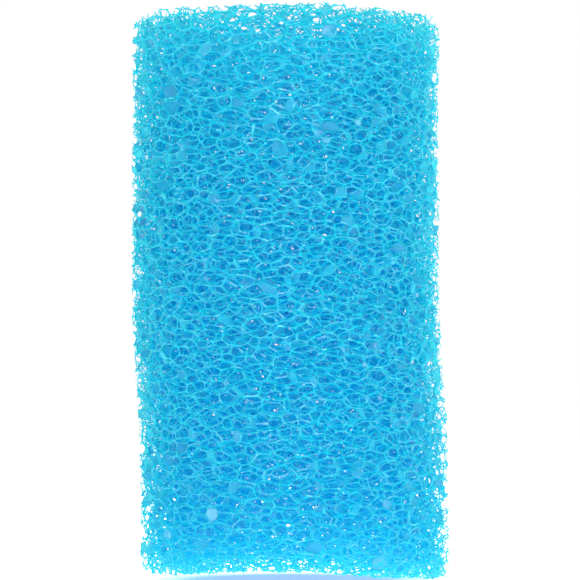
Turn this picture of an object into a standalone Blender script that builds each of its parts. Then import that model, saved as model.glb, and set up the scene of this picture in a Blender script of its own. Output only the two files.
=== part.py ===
"""Foam filter sleeve: a sheet of open-cell foam rolled into an upright tube and bonded along a butt seam.

The frame is metres with +Z up. The origin is on the tube's axis at its lower end, and the seam runs
up the back, at +Y. Two solids make the sleeve: the rolled foam wrap and the adhesive film in its seam.
"""

import math

import bmesh
import bpy
from mathutils import Matrix, Vector

# Driving dimensions
SLEEVE_HEIGHT = 0.150  # lower end to upper end
BORE_RADIUS = 0.025  # of the hollow that slips over a strainer or a media basket
WALL = 0.016  # thickness of the foam sheet
RIM_ROUND = 0.0025  # cut foam crumbles round at the outer edges of both ends
BORE_ROUND = 0.0010  # and a little less at the inner edges
BOND_FILM = 0.0012  # thickness of the cured adhesive between the butted ends of the sheet
BOND_INSET = 0.0015  # the film stops this far short of each surface of the sheet
BOND_EDGE = 0.0002  # radius on the film's long edges

# Clearances and facets
TOUCH_GAP = 0.0003  # between two solids that touch on the real sleeve
CUT_PAST = 0.004  # how far a cutter runs past the face it opens
TURN_FACETS = 96  # flats round the tube
ROUND_FACETS = 4  # flats on each rounded edge

# Sizes that follow from them
OUTER_RADIUS = BORE_RADIUS + WALL
SEAM_WIDTH = BOND_FILM + 2 * TOUCH_GAP


def clear_scene():
    for item in list(bpy.data.objects):
        bpy.data.objects.remove(item, do_unlink=True)


def make_material(name, colour, roughness):
    """A non-metallic Principled material."""
    material = bpy.data.materials.new(name)
    material.use_nodes = True
    shader = material.node_tree.nodes["Principled BSDF"]
    shader.inputs["Base Color"].default_value = (*colour, 1.0)
    shader.inputs["Roughness"].default_value = roughness
    shader.inputs["Metallic"].default_value = 0.0
    material.diffuse_color = (*colour, 1.0)
    return material


def add_object(name, mesh_data, material=None):
    """Turns a bmesh into a named object at the origin, and frees the bmesh."""
    mesh = bpy.data.meshes.new(name)
    mesh_data.to_mesh(mesh)
    mesh_data.free()
    made = bpy.data.objects.new(name, mesh)
    bpy.context.scene.collection.objects.link(made)
    if material is not None:
        mesh.materials.append(material)
    return made


def rounded_corner(centre, radius, start_angle):
    """Points of a quarter arc in the XZ plane, counted anticlockwise from start_angle."""
    step = math.pi / 2 / ROUND_FACETS
    middle = Vector((centre[0], 0.0, centre[1]))
    angles = [start_angle + step * i for i in range(ROUND_FACETS + 1)]
    return [middle + radius * Vector((math.cos(angle), 0.0, math.sin(angle))) for angle in angles]


def wall_profile():
    """The sheet's cross-section: a tall rectangle whose four corners are rounded, anticlockwise."""
    top = SLEEVE_HEIGHT
    outer, inner = OUTER_RADIUS - RIM_ROUND, BORE_RADIUS + BORE_ROUND
    points = rounded_corner((outer, RIM_ROUND), RIM_ROUND, -math.pi / 2)
    points += rounded_corner((outer, top - RIM_ROUND), RIM_ROUND, 0.0)
    points += rounded_corner((inner, top - BORE_ROUND), BORE_ROUND, math.pi / 2)
    points += rounded_corner((inner, BORE_ROUND), BORE_ROUND, math.pi)
    return points


def box_mesh(low, high):
    """A bmesh box between two corners."""
    placing = Matrix.Translation((low + high) / 2) @ Matrix.Diagonal((*(high - low), 1.0))
    mesh_data = bmesh.new()
    bmesh.ops.create_cube(mesh_data, size=1.0, matrix=placing)
    return mesh_data


def make_seam_cutter():
    """A thin plate that parts the tube at the back. Its faces are parallel, as the sheet's squared ends."""
    low = Vector((-SEAM_WIDTH / 2, BORE_RADIUS - CUT_PAST, -CUT_PAST))
    high = Vector((SEAM_WIDTH / 2, OUTER_RADIUS + CUT_PAST, SLEEVE_HEIGHT + CUT_PAST))
    cutter = add_object("seam_cutter", box_mesh(low, high))
    cutter.hide_render = True
    cutter.display_type = "WIRE"
    return cutter


def make_foam_wrap(material):
    """The wall's cross-section turned round the axis, then parted at the seam."""
    turned = bmesh.new()
    corners = [turned.verts.new(point) for point in wall_profile()]
    outline = [turned.edges.new((a, b)) for a, b in zip(corners, corners[1:] + corners[:1])]
    bmesh.ops.spin(
        turned,
        geom=outline,
        cent=(0, 0, 0),
        axis=(0, 0, 1),
        angle=2 * math.pi,
        steps=TURN_FACETS,
        use_merge=True,
    )
    bmesh.ops.recalc_face_normals(turned, faces=turned.faces)
    wrap = add_object("foam_wrap", turned, material)
    wrap.data.shade_smooth()
    wrap.data.set_sharp_from_angle(angle=math.radians(40))

    parting = wrap.modifiers.new("seam", "BOOLEAN")
    parting.operation = "DIFFERENCE"
    parting.solver = "EXACT"
    parting.object = make_seam_cutter()
    return wrap


def make_seam_bond(material):
    """The adhesive film that fills the seam, clear of the foam on both sides and short of its faces."""
    low = Vector((-BOND_FILM / 2, BORE_RADIUS + BOND_INSET, BOND_INSET))
    high = Vector((BOND_FILM / 2, OUTER_RADIUS - BOND_INSET, SLEEVE_HEIGHT - BOND_INSET))
    film = add_object("seam_bond", box_mesh(low, high), material)
    easing = film.modifiers.new("eased_edges", "BEVEL")
    easing.width = BOND_EDGE
    easing.segments = 2
    return film


clear_scene()
foam_blue = make_material("foam_blue", (0.03, 0.45, 0.80), 0.45)
cured_adhesive = make_material("cured_adhesive", (0.22, 0.58, 0.78), 0.30)
foam_wrap = make_foam_wrap(foam_blue)
seam_bond = make_seam_bond(cured_adhesive)
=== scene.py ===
import math
import time
from itertools import combinations

import bpy
import numpy as np
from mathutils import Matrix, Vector


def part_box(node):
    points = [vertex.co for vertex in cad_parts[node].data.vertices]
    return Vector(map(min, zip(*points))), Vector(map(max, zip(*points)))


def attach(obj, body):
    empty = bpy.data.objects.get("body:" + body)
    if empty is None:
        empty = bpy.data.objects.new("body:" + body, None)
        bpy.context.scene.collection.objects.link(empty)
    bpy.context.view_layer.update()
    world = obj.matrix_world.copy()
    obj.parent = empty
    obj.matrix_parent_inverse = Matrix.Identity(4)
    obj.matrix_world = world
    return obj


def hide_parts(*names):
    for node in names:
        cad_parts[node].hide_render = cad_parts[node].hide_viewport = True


# Foam filter sleeve: an open-cell foam sheet rolled into a tube, with its ends bonded at the back.
# The foam is built strut by strut from the walls between random cells, as the real foam grows.

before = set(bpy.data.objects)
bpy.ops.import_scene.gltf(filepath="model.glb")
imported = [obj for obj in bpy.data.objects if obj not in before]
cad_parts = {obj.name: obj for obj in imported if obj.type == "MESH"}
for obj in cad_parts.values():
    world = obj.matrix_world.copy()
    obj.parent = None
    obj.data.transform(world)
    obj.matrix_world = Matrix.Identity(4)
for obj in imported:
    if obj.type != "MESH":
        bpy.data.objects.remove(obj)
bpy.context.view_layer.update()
startTime = time.time()
mm = 0.001
sheetLayer = "OFBake"          # the map that holds each point's place on the flat sheet


def report(text):
    # one line of progress, with the time since the start
    print(f"[{time.time() - startTime:6.1f} s] {text}", flush=True)


wrapLow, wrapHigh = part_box("foam_wrap")
bondLow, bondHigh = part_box("seam_bond")
sleeveHeight = wrapHigh.z - wrapLow.z
outerRadius = wrapHigh.x
bondInset = bondLow.z
boreRadius = bondLow.y - bondInset
wallThickness = outerRadius - boreRadius
middleRadius = (outerRadius + boreRadius) / 2
sheetLength = 2 * math.pi * middleRadius

studio = dict(
    cameraDistance=0.850,      # from the tube's axis
    cameraHeight=0.0465,       # a little under the middle, so the upper rim arches
    aimHeight=0.0772,
    lens=196.0,                # long, as for a catalogue picture
    floorColour="#FAFAFA",
    backdrop=1.0,              # how white the room looks to the camera
    roomLight=0.25,            # how much the walls light the foam
    tableGlow=0.50,            # how much the white table lights it from below
    paintedBoreShadow=0.25,          # painted shadow: how white the table looks to the camera inside the bore, where the sleeve's own shadow falls
    lampSize=0.60,
    lampColour="#E6F1FF",      # cool daylight lamps
    sidePower=1.6,
    rightShare=1.8,            # the right lamp is this much stronger than the left
    backPower=3.0,
    topPower=3.1,
    frontPower=5.6,            # close behind the lens, so that it reaches down into the cells
    bounces=32,                # light wanders deep into pale foam
    floorSize=6.0,
    floorDrop=0.0006,          # the floor lies this far below the sleeve
    floorRoughness=0.9,
)


def linear(hexColour):
    # sRGB hex to linear RGBA
    parts = [int(hexColour[i:i + 2], 16) / 255 for i in (1, 3, 5)]
    return tuple(p / 12.92 if p <= 0.04045 else ((p + 0.055) / 1.055) ** 2.4 for p in parts) + (1.0,)


def addNode(tree, kind, links=(), **settings):
    # one node with its settings and the sockets that feed it: links are (input, output socket or value)
    node = tree.nodes.new(kind)
    for name, value in settings.items():
        setattr(node, name, value)
    for name, source in links:
        if isinstance(source, bpy.types.NodeSocket):
            tree.links.new(source, node.inputs[name])
        else:
            node.inputs[name].default_value = source
    return node


def newMaterial(name):
    # a node material with its tree and its shader
    material = bpy.data.materials.new(name)
    material.use_nodes = True
    return material, material.node_tree, material.node_tree.nodes["Principled BSDF"]


def addAreaLight(name, place, power):
    # a round soft box that faces the middle of the sleeve
    target = Vector((0.0, 0.0, sleeveHeight / 2))
    data = bpy.data.lights.new(name, "AREA")
    data.shape = "DISK"
    data.size = studio["lampSize"]
    data.energy = power
    data.color = linear(studio["lampColour"])[:3]
    light = bpy.data.objects.new(name, data)
    light.location = place
    light.rotation_euler = (target - Vector(place)).to_track_quat("-Z", "Y").to_euler()
    bpy.context.scene.collection.objects.link(light)


def makeCamera(scene):
    # the start-up scene's own things go, and a long lens looks a little upwards at the sleeve
    for name in ("Cube", "Light", "Camera"):
        if name in bpy.data.objects:
            bpy.data.objects.remove(bpy.data.objects[name], do_unlink=True)

    lensData = bpy.data.cameras.new("camera")
    lensData.lens = studio["lens"]
    lensData.sensor_width = 36.0
    lensData.clip_start = 0.01
    lensData.clip_end = 20.0
    camera = bpy.data.objects.new("camera", lensData)
    camera.location = (0.0, -studio["cameraDistance"], studio["cameraHeight"])
    aim = Vector((0.0, 0.0, studio["aimHeight"]))
    camera.rotation_euler = (aim - camera.location).to_track_quat("-Z", "Y").to_euler()
    scene.collection.objects.link(camera)
    scene.camera = camera


def makeLamps():
    # a soft box at each side, one behind, one above and one close behind the lens
    addAreaLight("leftBox", (-0.95, -0.10, 0.25), studio["sidePower"])
    addAreaLight("rightBox", (0.95, -0.15, 0.30), studio["sidePower"] * studio["rightShare"])
    addAreaLight("backBox", (0.10, 0.95, 0.45), studio["backPower"])
    addAreaLight("topBox", (0.0, 0.10, 1.05), studio["topPower"])
    addAreaLight("frontBox", (-0.10, -1.00, 0.16), studio["frontPower"])


def makeRoom(scene):
    # a white room that looks brighter than it lights
    world = bpy.data.worlds.new("softWhiteRoom")
    world.use_nodes = True
    tree = world.node_tree
    room = tree.nodes["Background"]
    room.inputs["Color"].default_value = (1.0, 1.0, 1.0, 1.0)
    seen = addNode(tree, "ShaderNodeLightPath")
    mix = addNode(tree, "ShaderNodeMix", [("Factor", seen.outputs["Is Camera Ray"]),
                                          ("A", studio["roomLight"]), ("B", studio["backdrop"])])
    tree.links.new(mix.outputs["Result"], room.inputs["Strength"])
    scene.world = world


def makeFloor():
    # a white table that glows as the room does, with a painted shadow for the camera: its glow fades
    # from the sleeve's outer edge in to its bore
    place = (0.0, 0.0, -studio["floorDrop"])
    bpy.ops.mesh.primitive_plane_add(size=studio["floorSize"], location=place)
    floor = bpy.context.object
    floor.name = "floor"
    material, tree, shader = newMaterial("palePaintedFloor")
    shader.inputs["Base Color"].default_value = linear(studio["floorColour"])
    shader.inputs["Roughness"].default_value = studio["floorRoughness"]
    shader.inputs["Emission Color"].default_value = linear(studio["floorColour"])
    spot = addNode(tree, "ShaderNodeNewGeometry")
    apart = addNode(tree, "ShaderNodeVectorMath", [(0, spot.outputs["Position"])], operation="LENGTH")
    # painted shadow: the glow the camera sees is darkened from the sleeve's outer edge in to its bore
    paintedShadow = addNode(tree, "ShaderNodeMapRange",
                    [("Value", apart.outputs["Value"]),
                     ("From Min", boreRadius), ("From Max", outerRadius),
                     ("To Min", studio["paintedBoreShadow"]), ("To Max", studio["backdrop"])])
    seen = addNode(tree, "ShaderNodeLightPath")
    glow = addNode(tree, "ShaderNodeMix", [("Factor", seen.outputs["Is Camera Ray"]),
                                           ("A", studio["tableGlow"]), ("B", paintedShadow.outputs["Result"])])
    tree.links.new(glow.outputs["Result"], shader.inputs["Emission Strength"])
    floor.data.materials.append(material)


def makeStudio():
    # camera, lamps, white room and white table, with colours shown as they are
    scene = bpy.context.scene
    makeCamera(scene)
    makeLamps()
    makeRoom(scene)
    makeFloor()
    scene.view_settings.view_transform = "Standard"
    scene.cycles.max_bounces = studio["bounces"]
    scene.cycles.diffuse_bounces = studio["bounces"]


makeStudio()
report("studio ready")

# The flat sheet is measured as (depth, along, up): depth is the radius it ends at once rolled, along
# runs round the tube from the seam, up is the height. Cells are laid out in it and then rolled.

foamGrade = dict(
    cellSize=4.5 * mm,         # height of a cell: coarse foam of about 10 pores to the inch
    cellStretch=(0.7, 1.4, 1.0),  # in depth, along and up: the foam rose along the sheet
    margin=5.0 * mm,           # spare foam all round, which the knife takes off
    settleSteps=10,            # how evenly the cells share the room
    settleReach=1.13,          # a seed pushes away those nearer than this many mean spacings,
    settlePush=0.28,           # by this share of what is missing
    smoothing=0.35,            # struts pull the corners towards even angles
    smoothingSteps=2,
    evenSpacing=1.12,          # cells that share the room stand this many mean spacings apart
    seed=11,
)

strutShape = dict(
    waist=0.14 * mm,           # from a strut's middle line to its three edges, at mid length
    corner=0.26 * mm,          # the same where four struts meet
    depthGain=0.4,             # struts below the cut faces are this much thicker
    gainDepth=5.0 * mm,
    tip=0.11 * mm,             # at a cut end
    shortest=0.42,             # the most of a short strut that a corner may take
    windowShare=0.62,          # a window never closes by more than this share of its half width
    thinnest=0.012 * mm,       # no strut is thinner than this anywhere
    halfAngleSine=0.816,       # of half the angle between two struts of one corner
    unevenness=0.14,           # some corners are thicker than others
    stubShortest=0.34 * mm,    # what the knife leaves of a strut
    stubVary=(0.85, 1.1),      # it tears them a little short or long
)

skinShape = dict(
    inside=0.005,              # share of the windows deep in the wall that kept their skin
    across=0.60,               # the same for windows near the surface that face along the sheet
    turnPower=12,              # how fast that share falls for windows that face another way
    clearDepth=2.0 * mm,       # surface windows reach down to here,
    fadeDepth=5.0 * mm,        # and this much deeper they are all deep ones
    reach=0.6,                 # how far out of a corner's body the skin's edge stands
    halfThickness=0.02 * mm,
)

seamShape = dict(
    foamGap=0.12 * mm,         # the sheet's end stops this far from the middle of the seam
    foamGroove=0.9 * mm,       # and this much more at the outer face
    grooveDepth=2.5 * mm,
    lumps=0.30,                # unevenness of the cured film, in lumps of these sizes
    lumpSizes=(4 * mm, 14 * mm),
    lumpWaves=16,
    leastShare=0.35,           # the lumps never bring it below or above these shares
    mostShare=1.6,
    sunk=1.5 * mm,             # three of the film's edges lie this much deeper, more or less
    edgeWander=0.35,           # by this share, on waves of these lengths
    edgeWaves=(3.1 * mm, 11 * mm),
    grid=(25, 181),            # points across and up the film
)

cutShape = dict(
    bulge=0.4 * mm,            # the foam swells this much past its size when cut
    rimRound=3.2 * mm,         # crumbled outer edges
    lowerArch=2.4 * mm,        # the lower end is cut higher at the front and back than at the sides
    lowerTilt=1.6 * mm,
    lean=1.2 * mm,             # soft foam stands a little crooked
    leanFrom=0.16,             # it turns from one side to the other between these heights
    leanTo=0.52,
    ripple=0.35 * mm,          # the knife wanders this much, on waves of these lengths
    rippleLengths=(9 * mm, 40 * mm),
    rippleWaves=24,
    sideRipple=0.3,            # and by this share of it on the outer face
    staves=12,                 # upright pieces, so that each mesh stays light
)


def binPoints(points, low, size, counts):
    # which bin of a regular grid each point is in, and a table of the points in each bin, -1 where none
    cell = np.clip(((points - low) / size).astype(np.int64), 0, counts - 1)
    flat = np.ravel_multi_index(cell.T, counts)
    order = np.argsort(flat, kind="stable")
    rank = np.arange(len(points)) - np.searchsorted(flat[order], flat[order])
    table = np.full((int(np.prod(counts)), int(rank.max()) + 1), -1)
    table[flat[order], rank] = order
    return cell, table


def nearestPoints(points, box, reach, most, wrap):
    # the nearest points to each one, nearest first, and how far they are. With wrap the box repeats.
    counts = np.maximum((box / reach).astype(int), 3)
    cell, table = binPoints(points, np.zeros(3), box / counts, counts)
    steps = np.array([(i, j, k) for i in (-1, 0, 1) for j in (-1, 0, 1) for k in (-1, 0, 1)])
    around = cell[:, None] + steps
    off = ((around < 0) | (around >= counts)).any(2)
    near = table[np.ravel_multi_index(np.moveaxis(around % counts, 2, 0), counts)]
    if not wrap:
        near[off] = -1
    near = near.reshape(len(points), -1)
    gap = points[near] - points[:, None]
    if wrap:
        gap -= box * np.round(gap / box)
    distance = np.sqrt((gap ** 2).sum(2))
    distance[(near < 0) | (near == np.arange(len(points))[:, None])] = np.inf
    order = np.argsort(distance, axis=1)[:, :most]
    return np.take_along_axis(near, order, 1), np.take_along_axis(distance, order, 1)


def settledSeeds(rng, box, count, steps):
    # random points that push their neighbours away until they share the box evenly
    points = rng.random((count, 3)) * box
    target = foamGrade["settleReach"] * (box.prod() / count) ** (1 / 3)
    for step in range(steps):
        if step % 4 == 0:                     # neighbours change slowly, and 20 are enough
            near, _ = nearestPoints(points, box, 1.25 * target, 20, True)
        gap = points[near] - points[:, None]
        gap -= box * np.round(gap / box)
        distance = np.sqrt((gap ** 2).sum(2)) + 1e-12
        push = np.clip(target - distance, 0, None) / distance * foamGrade["settlePush"]
        points = (points - (gap * push[:, :, None]).sum(1)) % box
    return points


def cellCorners(seeds, box, spacing):
    # every point that is equally far from four seeds with no seed nearer: the corners between cells.
    # Its offset x from the first seed solves 2 q.x = q.q for the offsets q of the three others. Only
    # a seed's 30 nearest are looked at, and a corner further off than a cell reaches is dropped.
    searchCell, farthest, largestCell = 1.75 * spacing, 1.85 * spacing, 0.95 * spacing
    mostAtOnce = 400_000                      # triples worked out together, to spare the memory
    order = np.argsort(seeds[:, 1])
    seeds = seeds[order]
    near, distance = nearestPoints(seeds, box, searchCell, 30, False)
    reachable = distance < farthest
    higher = reachable & (near > np.arange(len(seeds))[:, None])
    found = []
    for n in range(3, int(higher.sum(1).max()) + 1):
        rows = np.flatnonzero(higher.sum(1) == n)
        if not len(rows):
            continue
        triples = np.array(list(combinations(range(n), 3)))
        for part in np.array_split(rows, 1 + len(rows) * len(triples) // mostAtOnce):
            pick = np.argsort(~higher[part], axis=1, kind="stable")[:, :n]
            ids = np.take_along_axis(near[part], pick, 1)[:, triples]
            q = seeds[ids] - seeds[part][:, None, None]
            a, b, c = q[:, :, 0], q[:, :, 1], q[:, :, 2]
            square = (q ** 2).sum(3)[..., None]
            bc, ca, ab = np.cross(b, c), np.cross(c, a), np.cross(a, b)
            volume = (a * bc).sum(2)[..., None]
            x = square[:, :, 0] * bc + square[:, :, 1] * ca + square[:, :, 2] * ab
            with np.errstate(divide="ignore", invalid="ignore"):
                x = x / (2 * volume)
            row, col = np.nonzero((x ** 2).sum(2) < largestCell ** 2)
            x, ids = x[row, col], ids[row, col]
            others = seeds[near[part]][row] - seeds[part][row][:, None]
            slack = 1e-7 * spacing ** 2
            clear = 2 * np.einsum("nj,nkj->nk", x, others) <= (others ** 2).sum(2) + slack
            clear |= near[part][row] < 0
            good = clear.all(1)
            first = part[row[good]]
            quad = np.column_stack([first, ids[good]])
            found.append((quad, seeds[first] + x[good]))
    quads = np.concatenate([f[0] for f in found])
    places = np.concatenate([f[1] for f in found])
    return seeds, np.sort(quads, axis=1), places


def growFoam():
    # cells as balls of the cell's size that fill the spare-sized sheet, settled in even space, where
    # no direction is stretched, and the corners between them
    rng = np.random.default_rng(foamGrade["seed"])
    size, margin = foamGrade["cellSize"], foamGrade["margin"]
    real = np.array([wallThickness, sheetLength, sleeveHeight]) + 2 * margin
    stretch = np.array(foamGrade["cellStretch"])
    even = real / stretch
    count = int(even.prod() / (math.pi / 6 * size ** 3))
    seeds = settledSeeds(rng, even, count, foamGrade["settleSteps"])
    report(f"{count} cells settled")
    spacing = (even.prod() / count) ** (1 / 3) * foamGrade["evenSpacing"]
    seeds, quads, corners = cellCorners(seeds, even, spacing)
    report(f"{len(corners)} corners between cells")
    start = np.array([boreRadius - margin, -margin, -margin])
    return rng, quads, seeds, corners, stretch, start


rng, quads, seeds, corners, stretch, start = growFoam()

# four cells meet at a corner. Any two of them share one of its six windows, and any three share one
# of its four struts, numbered by the cell that is left out.
windowCells = list(combinations(range(4), 2))
strutCells = [tuple(c for c in range(4) if c != s) for s in range(4)]
strutWindows = np.array([[windowCells.index(pair) for pair in ((a, b), (b, c), (a, c))]
                         for a, b, c in strutCells])
windowStruts = np.array([[s for s in range(4) if s not in pair] for pair in windowCells])
cellWindows = np.array([[w for w, pair in enumerate(windowCells) if c in pair] for c in range(4)])


def unit(v):
    # a vector over its own length
    return v / np.maximum(np.linalg.norm(v, axis=-1, keepdims=True), 1e-12)


def joinCorners(quads):
    # the corner at the other end of each of a corner's four struts, or -1
    n = int(quads.max()) + 1
    triples = quads[:, strutCells]
    keys = (triples[..., 0] * n + triples[..., 1]) * n + triples[..., 2]
    flat = keys.reshape(-1)
    order = np.argsort(flat, kind="stable")
    same = flat[order][1:] == flat[order][:-1]
    other = np.full(len(flat), -1)
    first, second = order[:-1][same], order[1:][same]
    other[first], other[second] = second, first
    return other.reshape(-1, 4)


def smoothStep(x):
    # 3 x squared less 2 x cubed, held at 0 and 1 outside them
    x = np.clip(x, 0, 1)
    return x * x * (3 - 2 * x)


def waves(rng, count, shortest, longest):
    # a smooth random field: a sum of sines with random directions, lengths and starts
    direction = unit(rng.normal(size=(count, 3)))
    k = 2 * math.pi / rng.uniform(shortest, longest, count)
    phase = rng.uniform(0, 2 * math.pi, count)
    return lambda p: np.sin(p @ (direction * k[:, None]).T + phase).sum(1) / math.sqrt(count)


def outsideBy(sheet, ripple):
    # how far a point of the sheet lies outside the finished cut, negative inside:
    # a box in (depth, along, up) with rounded outer edges at both ends
    depth, along, up = sheet.T
    turn = along / middleRadius
    side = np.sin(turn)                       # -1 at +X, where the lower end hangs lowest, 1 at -X
    lower = cutShape["lowerArch"] * (1 - side ** 2) + cutShape["lowerTilt"] * (0.5 + 0.5 * side)
    wander = cutShape["ripple"] * ripple(sheet)
    edge = cutShape["rimRound"]
    out = depth - outerRadius - cutShape["bulge"] - cutShape["sideRipple"] * wander
    ends = np.maximum(up - sleeveHeight - wander, lower - wander - up)
    corner = np.stack([out + edge, ends + edge], 1)
    rounded = np.linalg.norm(np.maximum(corner, 0), axis=1) + np.minimum(corner.max(1), 0) - edge
    inner = boreRadius - depth
    shallow = smoothStep(1 - (outerRadius - depth) / seamShape["grooveDepth"])
    groove = seamShape["foamGap"] + seamShape["foamGroove"] * shallow
    gap = groove - np.minimum(along, sheetLength - along)
    return np.maximum.reduce([rounded, inner, gap])


def leanAt(up):
    # how far the tube stands to the right at a height: to the right below, to the left above
    share = (up / sleeveHeight - cutShape["leanFrom"]) / (cutShape["leanTo"] - cutShape["leanFrom"])
    return cutShape["lean"] * (1 - 2 * smoothStep(share))


def roll(sheet):
    # the sheet bent round the axis, seam at the back, and leaning a little
    depth, along, up = sheet.T
    turn = along / middleRadius
    return np.column_stack([leanAt(up) - depth * np.sin(turn), depth * np.cos(turn), up])


def largestBody(keep, other):
    # corners kept that hang together, by passing the lowest label along the struts
    label = np.where(keep, np.arange(len(keep)), -1)
    link = np.where(other >= 0, other // 4, 0)
    joined = (other >= 0) & keep[link] & keep[:, None]
    while True:
        lowest = np.where(joined, label[link], np.iinfo(np.int64).max).min(1)
        new = np.where(keep, np.minimum(label, lowest), -1)
        new = np.where(keep, new[new], -1)
        if (new == label).all():
            break
        label = new
    names, sizes = np.unique(label[keep], return_counts=True)
    return keep & (label == names[sizes.argmax()])


def smoothedCorners(other):
    # each corner moves a share of the way to the mean of its four neighbours, a few times over
    place = corners.copy()
    linked = other >= 0
    for _ in range(foamGrade["smoothingSteps"]):
        mean = (place[other // 4] * linked[..., None]).sum(1) / np.maximum(linked.sum(1), 1)[:, None]
        place += foamGrade["smoothing"] * np.where(linked.all(1)[:, None], mean - place, 0)
    return place * stretch + start


def strutDirections(solid, other):
    # the unit direction and the length of each corner's four struts. A strut with no far end points
    # away from the sum of the others.
    linked = other >= 0
    reach = solid[other // 4] - solid[:, None]
    length = np.linalg.norm(reach, axis=2)
    length[~linked] = 0
    direction = unit(reach) * linked[..., None]
    return np.where(linked[..., None], direction, -unit(direction.sum(1))[:, None]), length


def groupMeans(ids, points):
    # the mean of the points that share a number, and how many do
    sizes = np.bincount(ids)
    sums = np.stack([np.bincount(ids, points[:, k]) for k in range(3)], 1)
    return sums / sizes[:, None], sizes


def halfWidths(window, sides, centre, solid, direction, linked):
    # half the width of each window: the least distance from its centre to the struts round it
    found = np.full(len(sides), np.inf)
    for s in range(4):
        for w in strutWindows[s]:
            toCentre = centre[window[:, w]] - solid
            along = (toCentre * direction[:, s]).sum(1, keepdims=True) * direction[:, s]
            apart = np.where(linked[:, s], np.linalg.norm(toCentre - along, axis=1), np.inf)
            np.minimum.at(found, window[:, w], apart)
    return found


def buildFoam():
    # the corners rolled into the tube, with the body's surface at each: a window's corner stands off
    # a foam corner by the inset, half way between the two struts that bound the window there
    other = joinCorners(quads)
    sheet = smoothedCorners(other)
    ripple = waves(rng, cutShape["rippleWaves"], *cutShape["rippleLengths"])
    outside = outsideBy(sheet, ripple)
    keep = largestBody(outside < 0, other)
    solid = roll(sheet)
    linked = other >= 0
    direction, length = strutDirections(solid, other)

    pairs = quads[:, windowCells]
    _, window = np.unique(pairs[..., 0] * len(seeds) + pairs[..., 1], return_inverse=True)
    window = window.reshape(-1, 6)
    centre, sides = groupMeans(window.ravel(), np.repeat(solid, 6, axis=0))
    halfWidth = halfWidths(window, sides, centre, solid, direction, linked)

    pull = direction[:, windowStruts[:, 0]] + direction[:, windowStruts[:, 1]]
    known = np.where(linked, length, np.inf)
    shortest = np.minimum(known[:, windowStruts[:, 0]], known[:, windowStruts[:, 1]])
    deep = 1 + strutShape["depthGain"] * smoothStep(-outside / strutShape["gainDepth"])[:, None]
    vary = deep * (1 + strutShape["unevenness"] * rng.normal(size=(len(solid), 1)))
    inset = np.minimum(strutShape["corner"] * vary, strutShape["shortest"] * 2 * shortest)
    widest = strutShape["windowShare"] / strutShape["halfAngleSine"] * halfWidth[window]
    inset = np.maximum(np.minimum(inset, widest), strutShape["thinnest"])
    windowCorner = solid[:, None] + unit(pull) * inset[..., None]

    return dict(other=other, keep=keep, solid=solid, sheet=sheet, outside=outside, direction=direction,
                length=length, window=window, halfWidth=halfWidth, windowCorner=windowCorner, pull=pull,
                deep=deep, centre=centre, pairs=pairs)


def skinMeshes(foam):
    # skins left in some windows: thin lenses, each a fan of triangles on both sides of a ring of
    # points at the window's corners, put in order by their angle round the window's middle
    window, centre, pairs = foam["window"], foam["centre"], foam["pairs"]
    count = len(centre)
    sides = np.bincount(window.ravel(), minlength=count)
    whole = np.bincount(window.ravel(), np.repeat(foam["keep"], 6), count) == sides
    pairOf = np.zeros((count, 2), int)
    pairOf[window.ravel()] = pairs.reshape(-1, 2)
    sheetSeeds = seeds * stretch + start
    near, far = sheetSeeds[pairOf[:, 0]], sheetSeeds[pairOf[:, 1]]
    facing = np.abs(unit(far - near)[:, 1])
    depthIn = outerRadius - (near + far)[:, 0] / 2
    buried = smoothStep((depthIn - skinShape["clearDepth"]) / skinShape["fadeDepth"])
    shallow = skinShape["across"] * facing ** skinShape["turnPower"]
    chance = shallow + (skinShape["inside"] - shallow) * buried
    chosen = whole & (sides > 2) & (rng.random(count) < chance)
    solidSeeds = roll(sheetSeeds)
    faceAway = unit(solidSeeds[pairOf[:, 1]] - solidSeeds[pairOf[:, 0]])

    corner, slot = np.nonzero(chosen[window])
    ids = window[corner, slot]
    reach = foam["windowCorner"][corner, slot] - foam["solid"][corner]
    points = foam["solid"][corner] + skinShape["reach"] * reach
    order = np.argsort(ids, kind="stable")
    ids, points = ids[order], points[order]
    normal = faceAway[ids]
    offset = points - centre[ids]
    u = offset[np.searchsorted(ids, ids)]
    u = u - (u * normal).sum(1, keepdims=True) * normal
    v = np.cross(normal, u)
    order = np.lexsort((np.arctan2((offset * v).sum(1), (offset * u).sum(1)), ids))
    points, ids = points[order], ids[order]

    names, first, sizes = np.unique(ids, return_index=True, return_counts=True)
    skin = np.repeat(np.arange(len(names)), sizes)
    following = np.arange(len(ids)) + 1
    following[first + sizes - 1] = first
    middle, _ = groupMeans(skin, points)
    lift = skinShape["halfThickness"] * faceAway[names]
    apex = len(points) + 2 * skin
    tris = np.concatenate([np.column_stack([np.arange(len(ids)), following, apex]),
                           np.column_stack([following, np.arange(len(ids)), apex + 1])])
    both = np.stack([middle + lift, middle - lift], 1).reshape(-1, 3)
    return np.concatenate([points, both]), tris, skin, middle


def chirality():
    # on which side of a corner's first three cells its last one lies: the sign of their triple product
    p = seeds[quads]
    return np.sign(np.linalg.det(p[:, 1:] - p[:, :1]))


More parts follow.
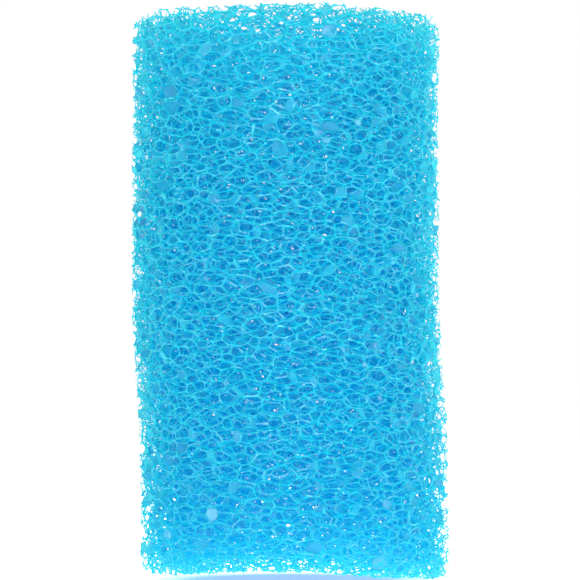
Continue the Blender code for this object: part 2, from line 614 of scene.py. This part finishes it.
def strutMeshes(foam):
    # for every kept corner: four small triangles between its windows, and four half struts. A half
    # strut runs to a ring of three points at the strut's middle, or to a closed tip where it is cut.
    keep = np.flatnonzero(foam["keep"])
    other = foam["other"][keep]
    staves = cutShape["staves"]
    stave = np.clip((foam["sheet"][:, 1] / sheetLength * staves).astype(int), 0, staves - 1)
    hand = chirality()[keep]
    n = len(keep)
    local = np.full(len(foam["keep"]), -1)
    local[keep] = np.arange(n)
    partner = np.where(other >= 0, local[other // 4], -1)          # the corner at the far end, if kept
    isCut = partner < 0

    # ends of the half struts
    solid, direction, length = foam["solid"][keep], foam["direction"][keep], foam["length"][keep]
    inward = foam["pull"][keep]                                     # towards each window
    halfWidth = foam["halfWidth"][foam["window"][keep]]
    ends = np.empty((n, 4, 3, 3))
    outside = foam["outside"]
    for s in range(4):
        far = np.where(other[:, s] >= 0, other[:, s] // 4, 0)
        slots = strutWindows[s]
        farSlots = strutWindows[np.where(other[:, s] >= 0, other[:, s] % 4, 0)]
        axis = direction[:, s]
        near = inward[:, slots]
        away = foam["pull"][far][np.arange(n)[:, None], farSlots]
        both = np.where(isCut[:, s][:, None, None], near, near + away)
        both = unit(both - (both * axis[:, None]).sum(2, keepdims=True) * axis[:, None])
        # joined: the ring in the middle. cut: a tip near where the knife crossed, and never nearer
        # than a twentieth of the strut's length
        inner, outer = outside[keep], outside[far]
        cross = np.clip(inner / np.minimum(inner - outer, -1e-9), 0.05, 1.0)
        torn = rng.uniform(*strutShape["stubVary"], n)
        stub = np.clip(cross * length[:, s] * torn, strutShape["stubShortest"], None)
        stub = np.where(length[:, s] > 0, stub, strutShape["stubShortest"])
        reach = np.where(isCut[:, s], stub, length[:, s] / 2)
        thick = (foam["deep"][keep] + foam["deep"][far]) / 2
        waist = np.minimum(strutShape["waist"] * thick, strutShape["windowShare"] * halfWidth[:, slots])
        waist = np.maximum(waist, strutShape["thinnest"])
        spread = np.where(isCut[:, s][:, None], strutShape["tip"], waist)
        ends[:, s] = (solid + axis * reach[:, None])[:, None] + both * spread[..., None]

    # one ring for both halves of a joined strut in the same stave, so that they share its points
    cross = ~isCut & (stave[keep][np.maximum(partner, 0)] != stave[keep][:, None])
    own = isCut | cross
    halfId = np.arange(n * 4).reshape(n, 4)
    far = np.maximum(other, 0)
    partnerHalf = np.where(isCut, halfId, local[far // 4] * 4 + far % 4)
    ring = np.where(own, halfId, np.minimum(halfId, partnerHalf))
    return keep, stave[keep], hand, foam["windowCorner"][keep], ends, ring, own


def facesOf(hand, ring, own, nodeBase, ringBase):
    # vertex numbers: node points are six to a corner, ring points three to a ring. Each cell gives a
    # corner one triangle, each strut three quads and, where it is closed, a cap. The corner's hand
    # says which way round they run, so that all face outwards.
    right = hand > 0
    tris, quadsOut = [], []
    for c in range(4):
        w = nodeBase[:, None] + cellWindows[c]
        sign = right if c % 2 == 0 else ~right
        tris.append(np.where(sign[:, None], w[:, [0, 2, 1]], w))
    for s in range(4):
        sign = right if s % 2 == 0 else ~right
        nodePts = nodeBase[:, None] + strutWindows[s]
        ringPts = ringBase[ring[:, s]][:, None] + np.arange(3)
        for a, b in ((0, 1), (1, 2), (2, 0)):
            q = np.column_stack([nodePts[:, a], nodePts[:, b], ringPts[:, b], ringPts[:, a]])
            quadsOut.append(np.where(sign[:, None], q, q[:, [0, 3, 2, 1]]))
        closed = own[:, s]
        cap = np.where(sign[:, None], ringPts, ringPts[:, [0, 2, 1]])
        tris.append(cap[closed])
    return np.concatenate(tris), np.concatenate(quadsOut)


def sheetMap(points, nearTurn):
    # where points of the rolled sheet lie on it when it is flat, from 0 to 1 along and up: along is
    # the angle round the axis from the seam, taken on the same side of the seam as nearTurn
    turn = np.arctan2(leanAt(points[:, 2]) - points[:, 0], points[:, 1])
    turn = (turn - nearTurn + math.pi) % (2 * math.pi) - math.pi + nearTurn
    return np.clip(np.column_stack([turn / (2 * math.pi), points[:, 2] / sleeveHeight]), 0, 1)


def meshFrom(name, points, tris, quadFaces, material, flatMap, smooth=False):
    # a mesh from whole arrays. flatMap is each point's place on the flat sheet, which the material's
    # patterns follow
    mesh = bpy.data.meshes.new(name)
    mesh.vertices.add(len(points))
    mesh.vertices.foreach_set("co", points.astype(np.float32).ravel())
    loops = np.concatenate([tris.ravel(), quadFaces.ravel()]).astype(np.int32)
    mesh.loops.add(len(loops))
    mesh.loops.foreach_set("vertex_index", loops)
    sizes = np.concatenate([np.full(len(tris), 3), np.full(len(quadFaces), 4)])
    starts = np.concatenate([[0], np.cumsum(sizes)[:-1]]).astype(np.int32)
    mesh.polygons.add(len(sizes))
    mesh.polygons.foreach_set("loop_start", starts)
    mesh.polygons.foreach_set("use_smooth", np.full(len(sizes), smooth))
    flat = flatMap[loops].astype(np.float32)
    mesh.uv_layers.new(name=sheetLayer).uv.foreach_set("vector", flat.ravel())
    mesh.update(calc_edges=True)
    mesh.validate()
    mesh.materials.append(material)
    piece = bpy.data.objects.new(name, mesh)
    bpy.context.scene.collection.objects.link(piece)
    return piece


def makeFoam(material):
    # the foam's body and skins, shared out between upright staves by the angle round the axis
    foam = buildFoam()
    report(f"{int(foam['keep'].sum())} corners kept inside the cut")
    keep, stave, hand, nodePoints, ends, ring, own = strutMeshes(foam)
    skinPoints, skinTris, skin, middle = skinMeshes(foam)
    turn = np.arctan2(leanAt(middle[:, 2]) - middle[:, 0], middle[:, 1]) % (2 * math.pi)
    skinStave = (turn / (2 * math.pi) * cutShape["staves"]).astype(int)
    report(f"{len(middle)} windows with skin")
    n = len(keep)
    pieces = []
    endPoints = ends.reshape(-1, 3, 3)
    for number in range(cutShape["staves"]):
        mine = np.flatnonzero(stave == number)
        nodeBase = np.full(n, -1)
        nodeBase[mine] = 6 * np.arange(len(mine))
        rings = np.unique(ring[mine])
        ringBase = np.full(n * 4, -1)
        ringBase[rings] = 6 * len(mine) + 3 * np.arange(len(rings))
        points = np.concatenate([nodePoints[mine].reshape(-1, 3), endPoints[rings].reshape(-1, 3)])
        tris, quadFaces = facesOf(hand[mine], ring[mine], own[mine], nodeBase[mine], ringBase)
        skins = skinTris[np.tile(skinStave[skin] == number, 2)]
        used, skins = np.unique(skins, return_inverse=True)
        tris = np.concatenate([tris, skins.reshape(-1, 3) + len(points)])
        points = np.concatenate([points, skinPoints[used]])
        flatMap = sheetMap(points, 2 * math.pi * (number + 0.5) / cutShape["staves"])
        piece = meshFrom(f"foamStave{number + 1}", points, tris, quadFaces, material, flatMap)
        pieces.append(piece)
        report(f"{piece.name}: {len(points)} points, {len(tris) + 2 * len(quadFaces)} triangles")
    return pieces


foamFinish = dict(
    deepTone="#12E3FB",        # one strut's own colour; many in a row look far bluer
    paleTone="#1AE8FD",
    toneSize=16.0 * mm,        # the dye is a little uneven over this distance
    glossSize=2.5 * mm,        # some cells kept a glossier skin than others
    glossFrom=0.12,            # roughness of the glossiest and the dullest struts
    glossTo=0.30,
    whiteGlint=0.5,            # specular level, as for any clear plastic
    lightReach=(0.6 * mm, 2.4 * mm, 4.5 * mm),   # how far red, green and blue light wander inside
    grainSize=0.45 * mm,       # fine ripples on the struts, left by the bursting
    grainDepth=0.02 * mm,
)

adhesiveFinish = dict(
    deepTone="#18B8E6",        # clear adhesive, stained by the foam's dye
    paleTone="#4CCDF2",
    toneSize=7.0 * mm,         # thicker where the brush turned
    strokeSize=(1.1 * mm, 9.0 * mm),             # brush marks, across and along the seam
    strokeDepth=0.12 * mm,
    glossFrom=0.22,
    glossTo=0.45,
)


noiseRange = (0.3, 0.7)        # where nearly all of a noise texture's values lie


def flatSheet(tree, width, height):
    # a piece's own flat map, stretched back to metres
    flat = addNode(tree, "ShaderNodeUVMap", uv_map=sheetLayer)
    return addNode(tree, "ShaderNodeMapping",
                   [("Vector", flat.outputs["UV"]), ("Scale", (width, height, 1.0))])


def foamMaterial():
    # polyurethane foam dyed in the mix: clear struts full of dye, so light wanders through many of
    # them and comes out a deeper blue, and their smooth skin, melted in the burst, gives small
    # white glints
    look = foamFinish
    material, tree, shader = newMaterial("dyedPolyurethaneFoam")
    sheet = flatSheet(tree, sheetLength, sleeveHeight).outputs["Vector"]
    cloud = addNode(tree, "ShaderNodeTexNoise",
                    [("Vector", sheet), ("Scale", 1 / look["toneSize"]), ("Detail", 2.0)])
    tone = addNode(tree, "ShaderNodeMix",                    # sockets 6 and 7 are the two colours
                   [("Factor", cloud.outputs["Fac"]), (6, linear(look["deepTone"])),
                    (7, linear(look["paleTone"]))], data_type="RGBA")
    patches = addNode(tree, "ShaderNodeTexNoise", [("Vector", sheet), ("Scale", 1 / look["glossSize"])])
    gloss = addNode(tree, "ShaderNodeMapRange",
                    [("Value", patches.outputs["Fac"]),
                     ("From Min", noiseRange[0]), ("From Max", noiseRange[1]),
                     ("To Min", look["glossFrom"]), ("To Max", look["glossTo"])])
    grain = addNode(tree, "ShaderNodeTexNoise", [("Vector", sheet), ("Scale", 1 / look["grainSize"])])
    ripples = addNode(tree, "ShaderNodeBump",
                      [("Height", grain.outputs["Fac"]), ("Distance", look["grainDepth"])])
    tree.links.new(tone.outputs[2], shader.inputs["Base Color"])
    tree.links.new(gloss.outputs["Result"], shader.inputs["Roughness"])
    tree.links.new(ripples.outputs["Normal"], shader.inputs["Normal"])
    shader.inputs["Specular IOR Level"].default_value = look["whiteGlint"]
    shader.inputs["Subsurface Weight"].default_value = 1.0
    shader.inputs["Subsurface Radius"].default_value = look["lightReach"]
    shader.inputs["Subsurface Scale"].default_value = 1.0
    return material


def adhesiveMaterial():
    # flexible contact adhesive, brushed on and cured: paler than the foam, satin, with the strokes
    # of the brush still in it
    look = adhesiveFinish
    material, tree, shader = newMaterial("curedContactAdhesive")
    sheet = flatSheet(tree, bondHigh.y - bondLow.y, bondHigh.z - bondLow.z).outputs["Vector"]
    cloud = addNode(tree, "ShaderNodeTexNoise",
                    [("Vector", sheet), ("Scale", 1 / look["toneSize"]), ("Detail", 3.0)])
    tone = addNode(tree, "ShaderNodeMix",
                   [("Factor", cloud.outputs["Fac"]), (6, linear(look["deepTone"])),
                    (7, linear(look["paleTone"]))], data_type="RGBA")
    width, length = look["strokeSize"]
    along = addNode(tree, "ShaderNodeMapping",
                    [("Vector", sheet), ("Scale", (1 / width, 1 / length, 1.0))])
    strokes = addNode(tree, "ShaderNodeTexNoise",
                      [("Vector", along.outputs["Vector"]), ("Scale", 1.0), ("Detail", 3.0)])
    gloss = addNode(tree, "ShaderNodeMapRange",
                    [("Value", strokes.outputs["Fac"]),
                     ("From Min", noiseRange[0]), ("From Max", noiseRange[1]),
                     ("To Min", look["glossFrom"]), ("To Max", look["glossTo"])])
    ridges = addNode(tree, "ShaderNodeBump",
                     [("Height", strokes.outputs["Fac"]), ("Distance", look["strokeDepth"])])
    tree.links.new(tone.outputs[2], shader.inputs["Base Color"])
    tree.links.new(gloss.outputs["Result"], shader.inputs["Roughness"])
    tree.links.new(ridges.outputs["Normal"], shader.inputs["Normal"])
    return material


def sunkBy(place):
    # how deep the film's edge is sunk at a place along it: a sine wave, shifted by a longer one
    shorter, longer = seamShape["edgeWaves"]
    wave = np.sin(place / shorter + 2 * np.sin(place / longer))
    return seamShape["sunk"] * (1 + seamShape["edgeWander"] * wave)


def makeSeamFilm(material):
    # a pillow over (across, up) from -1 to 1: both faces stand off the middle plane by the half
    # thickness times the square root of (1 - across^8)(1 - up^60), with lumps. Both long edges and
    # the upper one are sunk into the foam.
    across, up = np.meshgrid(*[np.linspace(-1, 1, count) for count in seamShape["grid"]])
    lump = waves(rng, seamShape["lumpWaves"], *seamShape["lumpSizes"])
    low, high = np.array(bondLow), np.array(bondHigh)
    low[2] += cutShape["lowerArch"] + cutShape["lowerTilt"] / 2      # where the foam is cut at the back
    middle, half = (low + high) / 2, (high - low) / 2
    top = high[2] - sunkBy(middle[1] + half[1] * across)
    z = low[2] + (top - low[2]) * (up + 1) / 2
    boreEdge = low[1] + sunkBy(z + seamShape["edgeWaves"][1])
    outerEdge = high[1] - sunkBy(z)
    y = boreEdge + (outerEdge - boreEdge) * (across + 1) / 2
    uneven = lump(np.column_stack([np.zeros(y.size), y.ravel(), z.ravel()])).reshape(y.shape)
    pillow = np.sqrt(np.clip((1 - across ** 8) * (1 - up ** 60), 0, None))
    lumpy = np.clip(1 + seamShape["lumps"] * uneven, seamShape["leastShare"], seamShape["mostShare"])
    stand = half[0] * pillow * lumpy
    rows, columns = y.shape
    sides = [np.stack([leanAt(z) + way * stand, y, z], 2).reshape(-1, 3) for way in (1, -1)]
    grid = np.arange(rows * columns).reshape(rows, columns)
    rim = np.zeros((rows, columns), bool)
    rim[[0, -1]] = True
    rim[:, [0, -1]] = True
    inner = np.flatnonzero(~rim.ravel())
    back = grid.ravel().copy()                         # the rim is shared by both faces
    back[inner] = rows * columns + np.arange(len(inner))
    quad = np.stack([grid[:-1, :-1], grid[:-1, 1:], grid[1:, 1:], grid[1:, :-1]], 2).reshape(-1, 4)
    faces = np.concatenate([quad, back[quad][:, ::-1]])
    points = np.concatenate([sides[0], sides[1][inner]])
    flatMap = (points[:, 1:] - low[1:]) / (high - low)[1:]
    return meshFrom("seamFilm", points, np.zeros((0, 3), int), faces, material, flatMap, smooth=True)


foamPieces = makeFoam(foamMaterial())
for piece in foamPieces:
    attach(piece, "root")
    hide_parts("foam_wrap")

seamFilm = makeSeamFilm(adhesiveMaterial())
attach(seamFilm, "root")
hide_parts("seam_bond")
